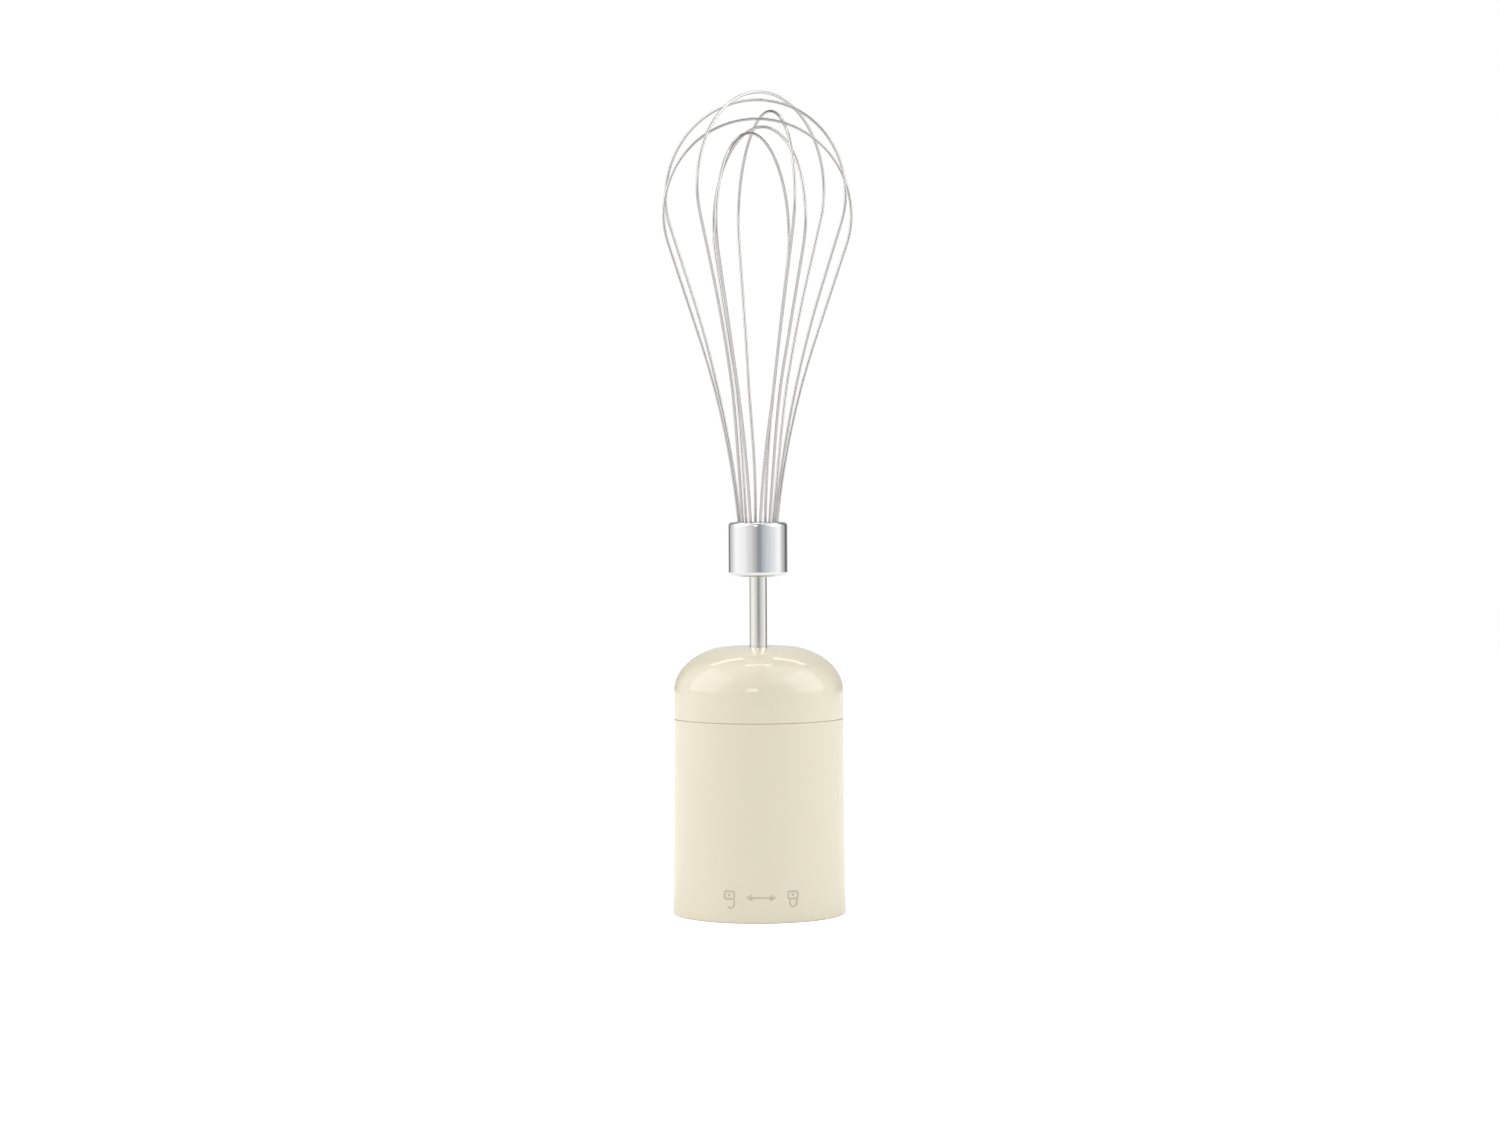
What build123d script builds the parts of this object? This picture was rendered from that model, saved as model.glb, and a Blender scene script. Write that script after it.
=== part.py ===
from build123d import *
from math import acos, cos, degrees, pi, radians, sin, tan
import os

os.makedirs("parts", exist_ok=True)

# Whisk attachment of a stick blender, standing on its coupling rim with the whisk upwards.
# The origin is the centre of the rim's plane, +Z runs up to the whisk's top, and the printed
# lock marks face -Y. All sizes are in millimetres, and heights are above the rim.

# Housing
RIM_RADIUS = 30.0
SEAM_RADIUS = 29.4
SEAM_HEIGHT = 67.7
WALL = 2.4
FIT = 0.1                    # gap left all round between parts that are pushed together
RUN = 0.05                   # gap left all round between parts that turn in each other
BULKHEAD = (27.0, 30.0)
LAP_HEIGHT = 61.3            # bottom of the step that takes the dome's spigot
LAP_RADIUS = 28.2
GASKET_THICKNESS = 1.0
CHEST_RADIUS = 26.9          # inside of the sleeve beside the gearbox
DOME_SHOULDER = 76.8         # where the dome's side starts to curve
DOME_TOP = 92.4
DOME_FLAT_RADIUS = 9.34
SNAP_ANGLES = (90, 210, 330)
SNAP_WINDOW = (64.2, 66.2)   # openings in the sleeve that the dome's snap nubs enter
SNAP_CLEARANCE = 0.3

# Coupling end
RING_OUTER = RIM_RADIUS - WALL - 0.2
RING_HEIGHTS = (1.0, 22.0)
GUIDE_RADIUS = 26.0
GUIDE_TOP = 9.0
RELIEF_RADIUS = 26.6
LUG_RADIUS = 24.6
LUG_HEIGHTS = (10.0, 13.5)
LUG_WIDTH = 9.4
COUPLING_RADIUS = 7.5
COUPLING_HEIGHTS = (9.0, 24.0)
DRIVE_HEX = 8.0
DRIVE_DEPTH = 10.0

# Gears
MODULE = 0.8
PRESSURE = radians(25)
SUN_TEETH = 15
PLANET_TEETH = 12
RING_TEETH = SUN_TEETH + 2 * PLANET_TEETH
ADDENDUM = 0.8
DEDENDUM = 1.0
RING_ADDENDUM = 0.65         # shortened, so that the planets' roots clear the ring's tips
THINNING = 0.06              # taken off each tooth's thickness for backlash
PLANET_ORBIT = MODULE * (SUN_TEETH + PLANET_TEETH) / 2
PLANET_ANGLES = {"a": 0, "b": 120, "c": 240}
PIN_RADIUS = 1.25
INPUT_SHAFT_RADIUS = 2.0
INPUT_GROOVE = (31.6, 32.3)  # groove for the clip above the case's lower boss
INPUT_BUSH_HEIGHTS = (25.0, 31.4)

# Heights of the gear train's stack
CASE_FLOOR = (30.1, 32.6)
CASE_TOP = 54.3
STAGE_1 = (33.75, 39.75)
CARRIER_1 = (39.9, 42.4)
STAGE_2 = (43.1, 50.1)
CARRIER_2 = (50.3, 53.3)
COVER_TOP = 57.0
COVER_BOSS_TOP = 68.5
CARRIER_RADIUS = 14.0
CASE_RADIUS = 19.5
CASE_SCREW_CIRCLE = 22.6
CASE_SCREW_ANGLES = (30, 150, 270)
COVER_SCREW_CIRCLE = 19.0
COVER_SCREW_ANGLES = (90, 210, 330)
CARRIER_HEX = 8.0

# Output socket and shaft
SHAFT_RADIUS = 3.0
SHAFT_FLATS = 4.6
SHAFT_HEIGHTS = (62.0, 130.0)
SHAFT_FLAT_TOP = 72.0
SNAP_GROOVE = (75.8, 78.2)
SOCKET_RADIUS = 5.0
SOCKET_TOP = 88.0
SOCKET_FLOOR = 60.0
SOCKET_FLAT_TOP = 71.5
CIRCLIP_GROOVE = (68.8, 69.6)
SEAL_HEIGHTS = (81.0, 86.0)
COLLAR_RADIUS = 9.0

# Whisk
FERRULE_RADIUS = 10.2
FERRULE_HEIGHTS = (116.7, 135.5)
FERRULE_WALL = 0.8
WIRE_RADIUS = 0.5
WIRE_CIRCLE = 6.67
WIRE_FOOT = 122.5            # bottom of each wire inside the holder
CROWN_RADIUS = 32.7          # half the width of every loop
LEG_ANGLE = radians(18.4)    # slope of a leg where it meets the crown
FOOT_ANGLE = radians(5.6)    # slope of a leg where it leaves the holder
TWIST_HEIGHT = 50.0          # a loop turns from its hole's angle to its own over this height
# Each loop: height of its top above the ferrule, angle of its holes, angle of its plane, and
# how far its top leans towards +X.
WIRE_LOOPS = [
    (148.0, 37.5, 47.9, 2.4),
    (145.4, -22.5, -18.5, -0.7),
    (141.4, -82.5, -73.0, 4.2),
    (138.9, 7.5, 8.3, 0.6),
    (136.0, -52.5, -61.1, 0.9),
    (133.9, 67.5, 67.4, -1.4),
]


def polar(radius, angle):
    """A point of the XY plane, from its distance to the axis and its angle in degrees."""
    return (radius * cos(radians(angle)), radius * sin(radians(angle)))


def disc(bottom, top, radius, mode=Mode.ADD):
    """Adds an upright cylinder about the axis between two heights to the open part."""
    with BuildSketch(Plane.XY.offset(bottom)) as profile:
        Circle(radius)
    extrude(profile.sketch, amount=top - bottom, mode=mode)


def washer(bottom, top, outer, inner):
    """Adds an upright flat ring about the axis between two heights to the open part."""
    with BuildSketch(Plane.XY.offset(bottom)) as profile:
        Circle(outer)
        Circle(inner, mode=Mode.SUBTRACT)
    extrude(profile.sketch, amount=top - bottom)


def involute(angle):
    """The involute function of a pressure angle in radians."""
    return tan(angle) - angle


def gear_outline(teeth, foot, tip, phase=0, mode=Mode.ADD):
    """Adds a toothed outline to the open sketch, with a tooth centred on the phase angle.

    The flanks are involutes. Half of a tooth's angle at radius r is s / 2p + inv(P) - inv(a),
    with s the thickness on the pitch radius p, P the pressure angle and cos(a) = base / r. In a
    ring gear, whose feet are further out than its tips, the last two terms change sign.
    """
    pitch = MODULE * teeth / 2
    base = pitch * cos(PRESSURE)
    half_pitch = (pi * MODULE / 2 - THINNING) / (2 * pitch)
    side = 1 if tip > foot else -1
    start = max(foot, base)
    radii = [start + (tip - start) * step / 4 for step in range(5)]
    halves = [
        degrees(half_pitch + side * (involute(PRESSURE) - involute(acos(base / r)))) for r in radii
    ]
    with BuildLine() as outline:
        for tooth in range(teeth):
            middle = phase + 360 * tooth / teeth
            rising = [polar(r, middle - half) for r, half in zip(radii, halves)]
            falling = [polar(r, middle + half) for r, half in zip(radii, halves)][::-1]
            Spline(*rising)
            Line(rising[-1], falling[0])
            Spline(*falling)
            next_foot = polar(radii[0], middle + 360 / teeth - halves[0])
            if foot < base:
                valley = polar(foot, middle + halves[0])
                next_valley = polar(foot, middle + 360 / teeth - halves[0])
                Polyline(falling[-1], valley, next_valley, next_foot)
            else:
                Line(falling[-1], next_foot)
    make_face(outline.edges(), mode=mode)


def outside_gear(teeth, phase=0):
    """Adds the outline of a sun or planet gear to the open sketch."""
    pitch = MODULE * teeth / 2
    gear_outline(teeth, pitch - DEDENDUM, pitch + ADDENDUM, phase)


def two_flats(radius, across):
    """Adds a round with two flats, the flats facing +Y and -Y, to the open sketch."""
    Circle(radius)
    Rectangle(2 * radius, across, mode=Mode.INTERSECT)


def loop_half(apex):
    """Half of a wire loop in its own plane, as distances from the axis and heights.

    A flare of constant radius bends the leg from FOOT_ANGLE to LEG_ANGLE, a straight stretch
    follows, and a circular crown closes the loop. The flare's radius is the one that makes all
    three meet without a corner.
    """
    crown_height = apex - CROWN_RADIUS
    rise = crown_height * sin(LEG_ANGLE) + WIRE_CIRCLE * cos(LEG_ANGLE) - CROWN_RADIUS
    flare = rise / (1 - cos(LEG_ANGLE - FOOT_ANGLE))
    points = []
    for step in range(5):
        angle = FOOT_ANGLE + (LEG_ANGLE - FOOT_ANGLE) * step / 4
        outward = WIRE_CIRCLE + flare * (cos(FOOT_ANGLE) - cos(angle))
        points.append((outward, flare * (sin(angle) - sin(FOOT_ANGLE))))
    crown_steps = 6
    for step in range(crown_steps):
        angle = -LEG_ANGLE + (pi / 2 + LEG_ANGLE) * step / crown_steps
        points.append((CROWN_RADIUS * cos(angle), crown_height + CROWN_RADIUS * sin(angle)))
    return points


def loop_point(side, outward, height, apex, hole_angle, plane_angle, lean):
    """A point of a wire loop in space: its plane turns over TWIST_HEIGHT and leans with height."""
    share = min(max(height / TWIST_HEIGHT, 0), 1)
    turn = share * share * (3 - 2 * share)
    x, y = polar(outward, hole_angle + (plane_angle - hole_angle) * turn)
    shift = lean * height / apex
    return (shift + side * x, side * y, FERRULE_HEIGHTS[1] + height)


# ---------------------------------------------------------------- housing

# Sleeve: lower shell of the housing, with the bulkhead that carries the gearbox.
with BuildPart() as sleeve:
    with BuildSketch(Plane.XZ):
        with BuildLine():
            Polyline(
                (RIM_RADIUS - WALL, 0),
                (RIM_RADIUS, 0),
                (SEAM_RADIUS, SEAM_HEIGHT),
                (LAP_RADIUS, SEAM_HEIGHT),
                (LAP_RADIUS, LAP_HEIGHT),
                (CHEST_RADIUS, LAP_HEIGHT),
                (CHEST_RADIUS, BULKHEAD[1]),
                (6.8, BULKHEAD[1]),
                (6.8, BULKHEAD[0]),
                (CHEST_RADIUS - 0.1, BULKHEAD[0]),
                (CHEST_RADIUS - 0.1, RING_HEIGHTS[1] + 0.1),
                (RIM_RADIUS - WALL, RING_HEIGHTS[1] + 0.1),
                close=True,
            )
        make_face()
    revolve(axis=Axis.Z)
    fillet(sleeve.edges().group_by(Axis.Z)[0], 0.6)
    with Locations(Plane.XY.offset(BULKHEAD[1])):
        with PolarLocations(CASE_SCREW_CIRCLE, 3, start_angle=CASE_SCREW_ANGLES[0]):
            Hole(1.7, depth=BULKHEAD[1] - BULKHEAD[0])
    with BuildSketch(Plane.XY.offset(SNAP_WINDOW[0])):
        with PolarLocations(LAP_RADIUS, 3, start_angle=SNAP_ANGLES[0]):
            Rectangle(1.2, 9)
    extrude(amount=SNAP_WINDOW[1] - SNAP_WINDOW[0], mode=Mode.SUBTRACT)
sleeve.part.label = "sleeve"
export_step(sleeve.part, "parts/sleeve.step")

# Dome: upper shell, with a spigot and three snap beads below and a collar for the shaft seal.
spigot_outer = LAP_RADIUS - FIT
spigot_inner = CHEST_RADIUS - 0.3
spigot_bottom = LAP_HEIGHT + GASKET_THICKNESS + RUN
dome_inner_top = DOME_TOP - WALL
with BuildPart() as dome:
    with BuildSketch(Plane.XZ):
        with BuildLine():
            shell = EllipticalCenterArc(
                (DOME_FLAT_RADIUS, DOME_SHOULDER),
                SEAM_RADIUS - DOME_FLAT_RADIUS,
                DOME_TOP - DOME_SHOULDER,
                start_angle=0,
                arc_size=90,
            )
            inside = EllipticalCenterArc(
                (DOME_FLAT_RADIUS, DOME_SHOULDER),
                spigot_inner - DOME_FLAT_RADIUS,
                dome_inner_top - DOME_SHOULDER,
                start_angle=0,
                arc_size=90,
            )
            Polyline(
                inside @ 0,
                (spigot_inner, spigot_bottom),
                (spigot_outer, spigot_bottom),
                (spigot_outer, SEAM_HEIGHT + RUN),
                (SEAM_RADIUS, SEAM_HEIGHT + RUN),
                shell @ 0,
            )
            Polyline(
                shell @ 1,
                (SHAFT_RADIUS + 0.4, DOME_TOP),
                (SHAFT_RADIUS + 0.4, dome_inner_top),
                inside @ 1,
            )
        make_face()
        with BuildLine():
            Polyline(
                (COLLAR_RADIUS, dome_inner_top + 0.5),
                (COLLAR_RADIUS, 80),
                (COLLAR_RADIUS + 1.6, 80),
                (COLLAR_RADIUS + 1.6, dome_inner_top + 0.5),
                close=True,
            )
        make_face()
    revolve(axis=Axis.Z)
    with BuildSketch(Plane.XY.offset(SNAP_WINDOW[0] + SNAP_CLEARANCE)):
        with PolarLocations(spigot_outer - 0.1, 3, start_angle=SNAP_ANGLES[0]):
            Rectangle(1.0, 8)
    extrude(amount=SNAP_WINDOW[1] - SNAP_WINDOW[0] - 2 * SNAP_CLEARANCE)
dome.part.label = "dome"
export_step(dome.part, "parts/dome.step")

# Housing gasket: silicone ring on the sleeve's step, pressed by the dome's spigot.
with BuildPart() as housing_gasket:
    washer(LAP_HEIGHT, LAP_HEIGHT + GASKET_THICKNESS, LAP_RADIUS - RUN, CHEST_RADIUS + RUN)
housing_gasket.part.label = "housing_gasket"
export_step(housing_gasket.part, "parts/housing_gasket.step")

# Bayonet ring: guides the motor handle and holds it with three inward lugs.
with BuildPart() as bayonet_ring:
    washer(*RING_HEIGHTS, RING_OUTER, RELIEF_RADIUS)
    washer(RING_HEIGHTS[0], GUIDE_TOP, RELIEF_RADIUS + 0.2, GUIDE_RADIUS)
    with BuildSketch(Plane.XY.offset(LUG_HEIGHTS[0])):
        with PolarLocations(LUG_RADIUS + 1, 3, start_angle=30):
            Rectangle(5, LUG_WIDTH)
        Circle(RELIEF_RADIUS + 0.2, mode=Mode.INTERSECT)
        Circle(LUG_RADIUS, mode=Mode.SUBTRACT)
    extrude(amount=LUG_HEIGHTS[1] - LUG_HEIGHTS[0])
bayonet_ring.part.label = "bayonet_ring"
export_step(bayonet_ring.part, "parts/bayonet_ring.step")

# ---------------------------------------------------------------- gear case

# Gear case: cup with the fixed toothed ring, standing on the bulkhead.
ring_pitch = MODULE * RING_TEETH / 2
with BuildPart() as gear_case:
    with BuildSketch(Plane.XY.offset(CASE_FLOOR[0])):
        Circle(CASE_RADIUS)
        with PolarLocations(COVER_SCREW_CIRCLE, 3, start_angle=COVER_SCREW_ANGLES[0]):
            Circle(3.2)
    extrude(amount=CASE_TOP - CASE_FLOOR[0])
    with BuildSketch(Plane.XY.offset(CASE_FLOOR[0])):
        with PolarLocations(CASE_SCREW_CIRCLE, 3, start_angle=CASE_SCREW_ANGLES[0]):
            Circle(3.4)
    extrude(amount=5.5)
    disc(25.0, CASE_FLOOR[0], 6.5)
    with BuildSketch(Plane.XY.offset(CASE_FLOOR[1])):
        gear_outline(RING_TEETH, ring_pitch + DEDENDUM, ring_pitch - RING_ADDENDUM)
    extrude(amount=CASE_TOP - CASE_FLOOR[1], mode=Mode.SUBTRACT)
    disc(INPUT_BUSH_HEIGHTS[0], CASE_FLOOR[1], 4.0, mode=Mode.SUBTRACT)
    disc(INPUT_BUSH_HEIGHTS[1], CASE_FLOOR[1], 4.6, mode=Mode.SUBTRACT)
    with Locations(Plane.XY.offset(CASE_TOP)):
        with PolarLocations(COVER_SCREW_CIRCLE, 3, start_angle=COVER_SCREW_ANGLES[0]):
            Hole(1.25, depth=8)
    with BuildSketch(Plane.XY.offset(CASE_FLOOR[0])):
        with PolarLocations(CASE_SCREW_CIRCLE, 3, start_angle=CASE_SCREW_ANGLES[0]):
            Circle(1.5)
    extrude(amount=4.9, mode=Mode.SUBTRACT)
gear_case.part.label = "gear_case"
export_step(gear_case.part, "parts/gear_case.step")

# Gear case cover: lid with the boss that holds the output bush.
with BuildPart() as gear_case_cover:
    with BuildSketch(Plane.XY.offset(CASE_TOP)):
        Circle(CASE_RADIUS)
        with PolarLocations(COVER_SCREW_CIRCLE, 3, start_angle=COVER_SCREW_ANGLES[0]):
            Circle(3.2)
    extrude(amount=COVER_TOP - CASE_TOP)
    disc(COVER_TOP, COVER_BOSS_TOP, 9.0)
    disc(CASE_TOP, COVER_TOP, 5.6, mode=Mode.SUBTRACT)
    disc(COVER_TOP, COVER_BOSS_TOP, 7.0, mode=Mode.SUBTRACT)
    with Locations(Plane.XY.offset(COVER_TOP)):
        with PolarLocations(COVER_SCREW_CIRCLE, 3, start_angle=COVER_SCREW_ANGLES[0]):
            Hole(1.35, depth=COVER_TOP - CASE_TOP)
gear_case_cover.part.label = "gear_case_cover"
export_step(gear_case_cover.part, "parts/gear_case_cover.step")

# Case screws: three pan heads under the bulkhead, threaded into the gear case's lugs.
with BuildPart() as case_screws:
    with BuildSketch(Plane.XY.offset(BULKHEAD[0] - 1.8)):
        with PolarLocations(CASE_SCREW_CIRCLE, 3, start_angle=CASE_SCREW_ANGLES[0]):
            Circle(2.8)
    extrude(amount=1.8)
    with BuildSketch(Plane.XY.offset(BULKHEAD[0] - 1.8)):
        with PolarLocations(CASE_SCREW_CIRCLE, 3, start_angle=CASE_SCREW_ANGLES[0]):
            Rectangle(2.6, 0.6)
            Rectangle(0.6, 2.6)
    extrude(amount=1.0, mode=Mode.SUBTRACT)
    with BuildSketch(Plane.XY.offset(BULKHEAD[0])):
        with PolarLocations(CASE_SCREW_CIRCLE, 3, start_angle=CASE_SCREW_ANGLES[0]):
            Circle(1.45)
    extrude(amount=7.6)
case_screws.part.label = "case_screws"
export_step(case_screws.part, "parts/case_screws.step")

# Cover screws: three pan heads on the gear case cover.
with BuildPart() as cover_screws:
    with BuildSketch(Plane.XY.offset(COVER_TOP)):
        with PolarLocations(COVER_SCREW_CIRCLE, 3, start_angle=COVER_SCREW_ANGLES[0]):
            Circle(2.2)
    extrude(amount=1.6)
    with BuildSketch(Plane.XY.offset(COVER_TOP + 1.6)):
        with PolarLocations(COVER_SCREW_CIRCLE, 3, start_angle=COVER_SCREW_ANGLES[0]):
            Rectangle(2.2, 0.5)
            Rectangle(0.5, 2.2)
    extrude(amount=-0.9, mode=Mode.SUBTRACT)
    with BuildSketch(Plane.XY.offset(COVER_TOP)):
        with PolarLocations(COVER_SCREW_CIRCLE, 3, start_angle=COVER_SCREW_ANGLES[0]):
            Circle(1.2)
    extrude(amount=-9.5)
cover_screws.part.label = "cover_screws"
export_step(cover_screws.part, "parts/cover_screws.step")

# Input bush: sintered bronze sleeve in the gear case's lower boss.
with BuildPart() as input_bush:
    washer(*INPUT_BUSH_HEIGHTS, 4.0, INPUT_SHAFT_RADIUS + RUN)
input_bush.part.label = "input_bush"
export_step(input_bush.part, "parts/input_bush.step")

# Output bush: sintered bronze sleeve in the cover's boss.
with BuildPart() as output_bush:
    washer(COVER_TOP, COVER_BOSS_TOP - 0.2, 7.0, SOCKET_RADIUS + RUN)
output_bush.part.label = "output_bush"
export_step(output_bush.part, "parts/output_bush.step")

# Shaft seal: rubber lip seal in the dome's collar, its lip towards the whisk.
with BuildPart() as shaft_seal:
    with BuildSketch(Plane.XZ):
        with BuildLine():
            Polyline(
                (SOCKET_RADIUS + 1.2, SEAL_HEIGHTS[0]),
                (COLLAR_RADIUS - FIT, SEAL_HEIGHTS[0]),
                (COLLAR_RADIUS - FIT, SEAL_HEIGHTS[1]),
                (COLLAR_RADIUS - 1.2, SEAL_HEIGHTS[1]),
                (COLLAR_RADIUS - 1.2, SEAL_HEIGHTS[0] + 2),
                (SOCKET_RADIUS + 1.2, SEAL_HEIGHTS[0] + 2.4),
                (SOCKET_RADIUS + 0.9, SEAL_HEIGHTS[1] - 0.6),
                (SOCKET_RADIUS + 0.1, SEAL_HEIGHTS[1] - 1.2),
                close=True,
            )
        make_face()
    revolve(axis=Axis.Z)
shaft_seal.part.label = "shaft_seal"
export_step(shaft_seal.part, "parts/shaft_seal.step")

# Floor washer: nylon thrust washer under the first stage's planets.
with BuildPart() as floor_washer:
    washer(CASE_FLOOR[1] + RUN, STAGE_1[0] - 0.1, 14.6, 6.0)
floor_washer.part.label = "floor_washer"
export_step(floor_washer.part, "parts/floor_washer.step")

# ---------------------------------------------------------------- input

# Drive coupling: plastic dog with the hexagonal socket that the motor's spindle enters.
with BuildPart() as drive_coupling:
    disc(*COUPLING_HEIGHTS, COUPLING_RADIUS)
    fillet(drive_coupling.edges().group_by(Axis.Z)[-1], 1.0)
    with BuildSketch(Plane.XY.offset(COUPLING_HEIGHTS[0])):
        RegularPolygon(DRIVE_HEX / 2, 6, major_radius=False)
    extrude(amount=DRIVE_DEPTH, mode=Mode.SUBTRACT)
    disc(*COUPLING_HEIGHTS, INPUT_SHAFT_RADIUS, mode=Mode.SUBTRACT)
    chamfer(drive_coupling.edges().group_by(Axis.Z)[0], 0.6)
drive_coupling.part.label = "drive_coupling"
export_step(drive_coupling.part, "parts/drive_coupling.step")

# Input shaft: steel pin from the coupling to the first sun gear, grooved for its clip.
with BuildPart() as input_shaft:
    disc(COUPLING_HEIGHTS[0] + DRIVE_DEPTH + 0.2, STAGE_1[1], INPUT_SHAFT_RADIUS)
    with BuildSketch(Plane.XY.offset(INPUT_GROOVE[0])):
        Circle(INPUT_SHAFT_RADIUS + 2)
        Circle(1.6, mode=Mode.SUBTRACT)
    extrude(amount=INPUT_GROOVE[1] - INPUT_GROOVE[0], mode=Mode.SUBTRACT)
input_shaft.part.label = "input_shaft"
export_step(input_shaft.part, "parts/input_shaft.step")

# Input clip: open spring clip in the input shaft's groove.
with BuildPart() as input_clip:
    with BuildSketch(Plane.XY.offset(INPUT_GROOVE[0] + RUN)):
        Circle(3.8)
        Circle(1.65, mode=Mode.SUBTRACT)
        with Locations((0, 2.5)):
            Rectangle(2.4, 5, mode=Mode.SUBTRACT)
    extrude(amount=0.6)
input_clip.part.label = "input_clip"
export_step(input_clip.part, "parts/input_clip.step")

# First sun gear: steel pinion pressed on the input shaft.
with BuildPart() as sun_gear_1:
    with BuildSketch(Plane.XY.offset(STAGE_1[0])):
        outside_gear(SUN_TEETH)
        Circle(INPUT_SHAFT_RADIUS, mode=Mode.SUBTRACT)
    extrude(amount=STAGE_1[1] - STAGE_1[0])
sun_gear_1.part.label = "sun_gear_1"
export_step(sun_gear_1.part, "parts/sun_gear_1.step")

# ---------------------------------------------------------------- planet stages

# Planet gears: six alike, three in each stage, with a tooth space facing the sun gear.
for stage, (bottom, top) in ((1, STAGE_1), (2, STAGE_2)):
    for letter, angle in PLANET_ANGLES.items():
        seat = Plane(
            origin=(*polar(PLANET_ORBIT, angle), bottom),
            x_dir=(*polar(1, angle), 0),
            z_dir=(0, 0, 1),
        )
        with BuildPart() as planet:
            with BuildSketch(seat):
                outside_gear(PLANET_TEETH, phase=180 / PLANET_TEETH)
                Circle(PIN_RADIUS + RUN, mode=Mode.SUBTRACT)
            extrude(amount=top - bottom)
        planet.part.label = f"planet_{stage}{letter}"
        export_step(planet.part, f"parts/planet_{stage}{letter}.step")

# Carriers: steel discs with three pin holes and a hexagonal hole in the middle.
for stage, (bottom, top) in ((1, CARRIER_1), (2, CARRIER_2)):
    with BuildPart() as carrier:
        with BuildSketch(Plane.XY.offset(bottom)):
            Circle(CARRIER_RADIUS)
            RegularPolygon(CARRIER_HEX / 2, 6, major_radius=False, mode=Mode.SUBTRACT)
            with PolarLocations(PLANET_ORBIT, 3):
                Circle(PIN_RADIUS, mode=Mode.SUBTRACT)
        extrude(amount=top - bottom)
    carrier.part.label = f"carrier_{stage}"
    export_step(carrier.part, f"parts/carrier_{stage}.step")

# Carrier pins: three steel pins riveted into each carrier, on which its planets turn.
for stage, (bottom, top) in ((1, (STAGE_1[0] + 0.2, CARRIER_1[1])), (2, (STAGE_2[0] + 0.2, CARRIER_2[1]))):
    with BuildPart() as pins:
        with BuildSketch(Plane.XY.offset(bottom)):
            with PolarLocations(PLANET_ORBIT, 3):
                Circle(PIN_RADIUS)
        extrude(amount=top - bottom)
    pins.part.label = f"carrier_{stage}_pins"
    export_step(pins.part, f"parts/carrier_{stage}_pins.step")

# Second sun gear: stands on the first carrier, its hexagonal foot pressed into it.
with BuildPart() as sun_gear_2:
    with BuildSketch(Plane.XY.offset(CARRIER_1[1])):
        outside_gear(SUN_TEETH)
    extrude(amount=STAGE_2[1] - CARRIER_1[1])
    with BuildSketch(Plane.XY.offset(CARRIER_1[0])):
        RegularPolygon(CARRIER_HEX / 2, 6, major_radius=False)
    extrude(amount=CARRIER_1[1] - CARRIER_1[0])
sun_gear_2.part.label = "sun_gear_2"
export_step(sun_gear_2.part, "parts/sun_gear_2.step")

# Middle washer: nylon washer between the first carrier and the second planets.
with BuildPart() as middle_washer:
    washer(CARRIER_1[1] + RUN, STAGE_2[0] - 0.1, CARRIER_RADIUS, 7.2)
middle_washer.part.label = "middle_washer"
export_step(middle_washer.part, "parts/middle_washer.step")

# Top washer: nylon washer between the second carrier and the cover.
with BuildPart() as top_washer:
    washer(CARRIER_2[1] + RUN, CASE_TOP - 0.1, CARRIER_RADIUS, 7.2)
top_washer.part.label = "top_washer"
export_step(top_washer.part, "parts/top_washer.step")

# ---------------------------------------------------------------- output

# Output socket: steel tube driven by the second carrier, with two flats inside for the whisk.
with BuildPart() as output_socket:
    with BuildSketch(Plane.XY.offset(CARRIER_2[0])):
        RegularPolygon(CARRIER_HEX / 2, 6, major_radius=False)
    extrude(amount=CARRIER_2[1] - CARRIER_2[0])
    disc(CARRIER_2[1], SOCKET_TOP, SOCKET_RADIUS)
    with BuildSketch(Plane.XY.offset(SOCKET_FLOOR)):
        two_flats(SHAFT_RADIUS + RUN, SHAFT_FLATS + 2 * RUN)
    extrude(amount=SOCKET_FLAT_TOP - SOCKET_FLOOR, mode=Mode.SUBTRACT)
    disc(SOCKET_FLAT_TOP, SOCKET_TOP, SHAFT_RADIUS + RUN, mode=Mode.SUBTRACT)
    disc(*SNAP_GROOVE, 4.1, mode=Mode.SUBTRACT)
    with BuildSketch(Plane.XY.offset(CIRCLIP_GROOVE[0])):
        Circle(SOCKET_RADIUS + 1)
        Circle(4.6, mode=Mode.SUBTRACT)
    extrude(amount=CIRCLIP_GROOVE[1] - CIRCLIP_GROOVE[0], mode=Mode.SUBTRACT)
    mouth = output_socket.edges().filter_by(GeomType.CIRCLE).group_by(Axis.Z)[-1]
    chamfer(mouth, 0.6)
output_socket.part.label = "output_socket"
export_step(output_socket.part, "parts/output_socket.step")

# Snap ring: spring ring inside the socket that drops into the shaft's groove.
with BuildPart() as snap_ring:
    with BuildSketch(Plane.XY.offset(76.2)):
        Circle(3.95)
        Circle(2.85, mode=Mode.SUBTRACT)
        with Locations((3.4, 0)):
            Rectangle(2, 1, mode=Mode.SUBTRACT)
    extrude(amount=1.6)
    fillet(snap_ring.edges().filter_by(GeomType.CIRCLE), 0.3)
snap_ring.part.label = "snap_ring"
export_step(snap_ring.part, "parts/snap_ring.step")

# Output circlip: open spring clip above the bush that keeps the socket from sliding out.
with BuildPart() as output_circlip:
    with BuildSketch(Plane.XY.offset(CIRCLIP_GROOVE[0] + RUN)):
        Circle(7.0)
        Circle(4.6 + RUN, mode=Mode.SUBTRACT)
        with Locations((0, -6)):
            Rectangle(4, 6, mode=Mode.SUBTRACT)
    extrude(amount=CIRCLIP_GROOVE[1] - CIRCLIP_GROOVE[0] - 2 * RUN)
output_circlip.part.label = "output_circlip"
export_step(output_circlip.part, "parts/output_circlip.step")

# ---------------------------------------------------------------- whisk

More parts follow.
